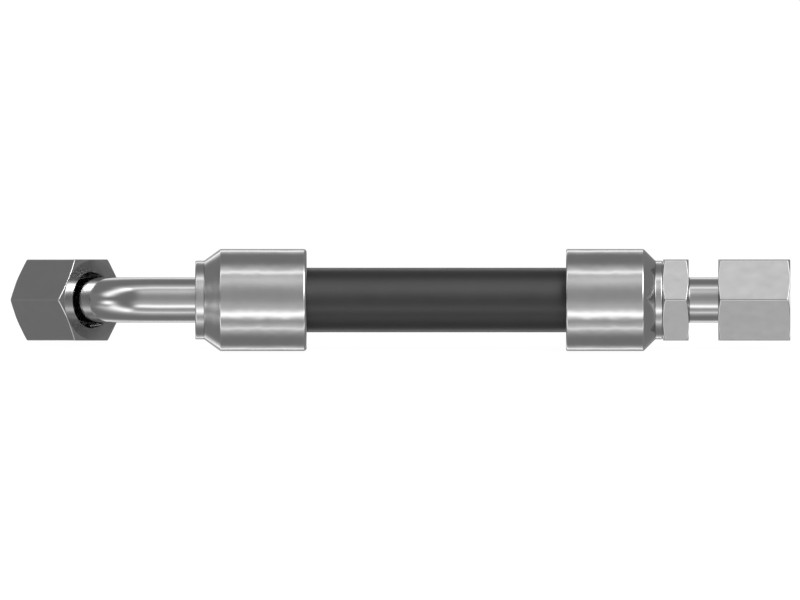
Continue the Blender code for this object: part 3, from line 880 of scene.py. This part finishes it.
rise = sum_up(tree, "ARCTAN2", towards(upwards), towards(front))
height = sum_up(tree, "DEGREES", rise)
sideways = towards(to_right)


def ramp(value, dark_at, full_at):
    """0 on one side of a soft edge and 1 on the other."""
    inputs = {"Value": value, "From Min": dark_at, "From Max": full_at}
    return add(tree, "ShaderNodeMapRange", inputs, interpolation_type="SMOOTHSTEP").outputs[0]


def between(left_end, right_end, softness):
    """1 between a lamp's soft ends and 0 beyond them."""
    past_left = ramp(sideways, left_end - softness / 2, left_end + softness / 2)
    short_of_right = ramp(sideways, right_end + softness / 2, right_end - softness / 2)
    return sum_up(tree, "MULTIPLY", past_left, short_of_right)


def lamp(coordinate, middle, width, strength):
    """Light of one lamp along a coordinate in degrees."""
    inputs = {"Height": coordinate, "Middle": middle, "Width": width, "Strength": strength}
    return use(tree, strip_light, inputs)["Light"]


light = STUDIO_DARK
for name, middle, width, strength, *ends in STUDIO_STRIPS:
    strip = sum_up(tree, "MULTIPLY", lamp(height, middle, width, strength), between(*ends))
    light = sum_up(tree, "ADD", light, strip)
off_front = sum_up(tree, "DEGREES", sum_up(tree, "ARCCOSINE", towards(front)))
for name, side, middle, width, strength, *ends in STUDIO_ARCS:
    own_side = ramp(towards(upwards * side), ARC_DARK_BELOW, ARC_FULL_ABOVE)
    share = sum_up(tree, "MULTIPLY", own_side, between(*ends))
    arc = sum_up(tree, "MULTIPLY", lamp(off_front, middle, width, strength), share)
    light = sum_up(tree, "ADD", light, arc)
across, ahead, above = LEFT_SPOT_TOWARDS
left_spot = (to_right * across + front * ahead + upwards * above).normalized()
off_spot = sum_up(tree, "DEGREES", sum_up(tree, "ARCCOSINE", towards(left_spot)))
light = sum_up(tree, "ADD", light, lamp(off_spot, 0.0, LEFT_SPOT_WIDTH, LEFT_SPOT_STRENGTH))
seen = add(tree, "ShaderNodeLightPath", {}).outputs["Is Camera Ray"]
room = add(tree, "ShaderNodeBackground", {"Color": light, "Strength": 1.0})
white = add(tree, "ShaderNodeBackground", {"Color": (1, 1, 1, 1), "Strength": 1.0})
mixed = add(tree, "ShaderNodeMixShader", {0: seen, 1: room.outputs[0], 2: white.outputs[0]})
add(tree, "ShaderNodeOutputWorld", {"Surface": mixed.outputs[0]})

# Floor
# A plain pale sheet that the assembly rests on. The camera sees it nearly as white as the room, and it
# keeps a faint shadow. Metal looks past it to the strip lights below.
FLOOR_HALF = 12.0
FLOOR_GREY = 0.9
FLOOR_GLOW_SHARE = 0.92
FLOOR_GLOW = 1.06
sheet = bpy.data.meshes.new("floor")
floor_sides = [(-1, -1), (1, -1), (1, 1), (-1, 1)]
sheet.from_pydata([(FLOOR_HALF * x, FLOOR_HALF * y, 0) for x, y in floor_sides], [], [(0, 1, 2, 3)])
floor = bpy.data.objects.new("floor", sheet)
bpy.context.collection.objects.link(floor)
floor_paint = bpy.data.materials.new("floor_paint")
floor_paint.use_nodes = True
tree = floor_paint.node_tree
tree.nodes.clear()
seen = add(tree, "ShaderNodeLightPath", {}).outputs["Is Camera Ray"]
paint = add(tree, "ShaderNodeBsdfDiffuse", {"Color": (FLOOR_GREY, FLOOR_GREY, FLOOR_GREY, 1)})
glow = add(tree, "ShaderNodeEmission", {"Color": (1, 1, 1, 1), "Strength": FLOOR_GLOW})
glow_share = sum_up(tree, "MULTIPLY", seen, FLOOR_GLOW_SHARE)
mixed = add(tree, "ShaderNodeMixShader", {0: glow_share, 1: paint.outputs[0], 2: glow.outputs[0]})
add(tree, "ShaderNodeOutputMaterial", {"Surface": mixed.outputs[0]})
sheet.materials.append(floor_paint)
floor.visible_glossy = False
floor.visible_shadow = False

# Camera
# Square to the hose, in the plane that both fittings lie in. The photo shows no perspective, so the camera
# is orthographic, as if it stood very far off with a very long lens.
CAMERA_DISTANCE = 2.0
FRAME_WIDTH = 0.2660
AIM_LEFT = 0.0001
lens = bpy.data.cameras.new("camera")
camera = bpy.data.objects.new("camera", lens)
bpy.context.collection.objects.link(camera)
aim_at = hose_middle * MM - to_right * (hose_middle.x * MM + AIM_LEFT)
turned_round = Matrix((upwards.cross(front), upwards, front)).transposed().to_4x4()
camera.matrix_world = Matrix.Translation(aim_at + front * CAMERA_DISTANCE) @ turned_round
lens.type = "ORTHO"
lens.ortho_scale = FRAME_WIDTH
bpy.context.scene.camera = camera
bpy.context.scene.view_settings.view_transform = "Standard"
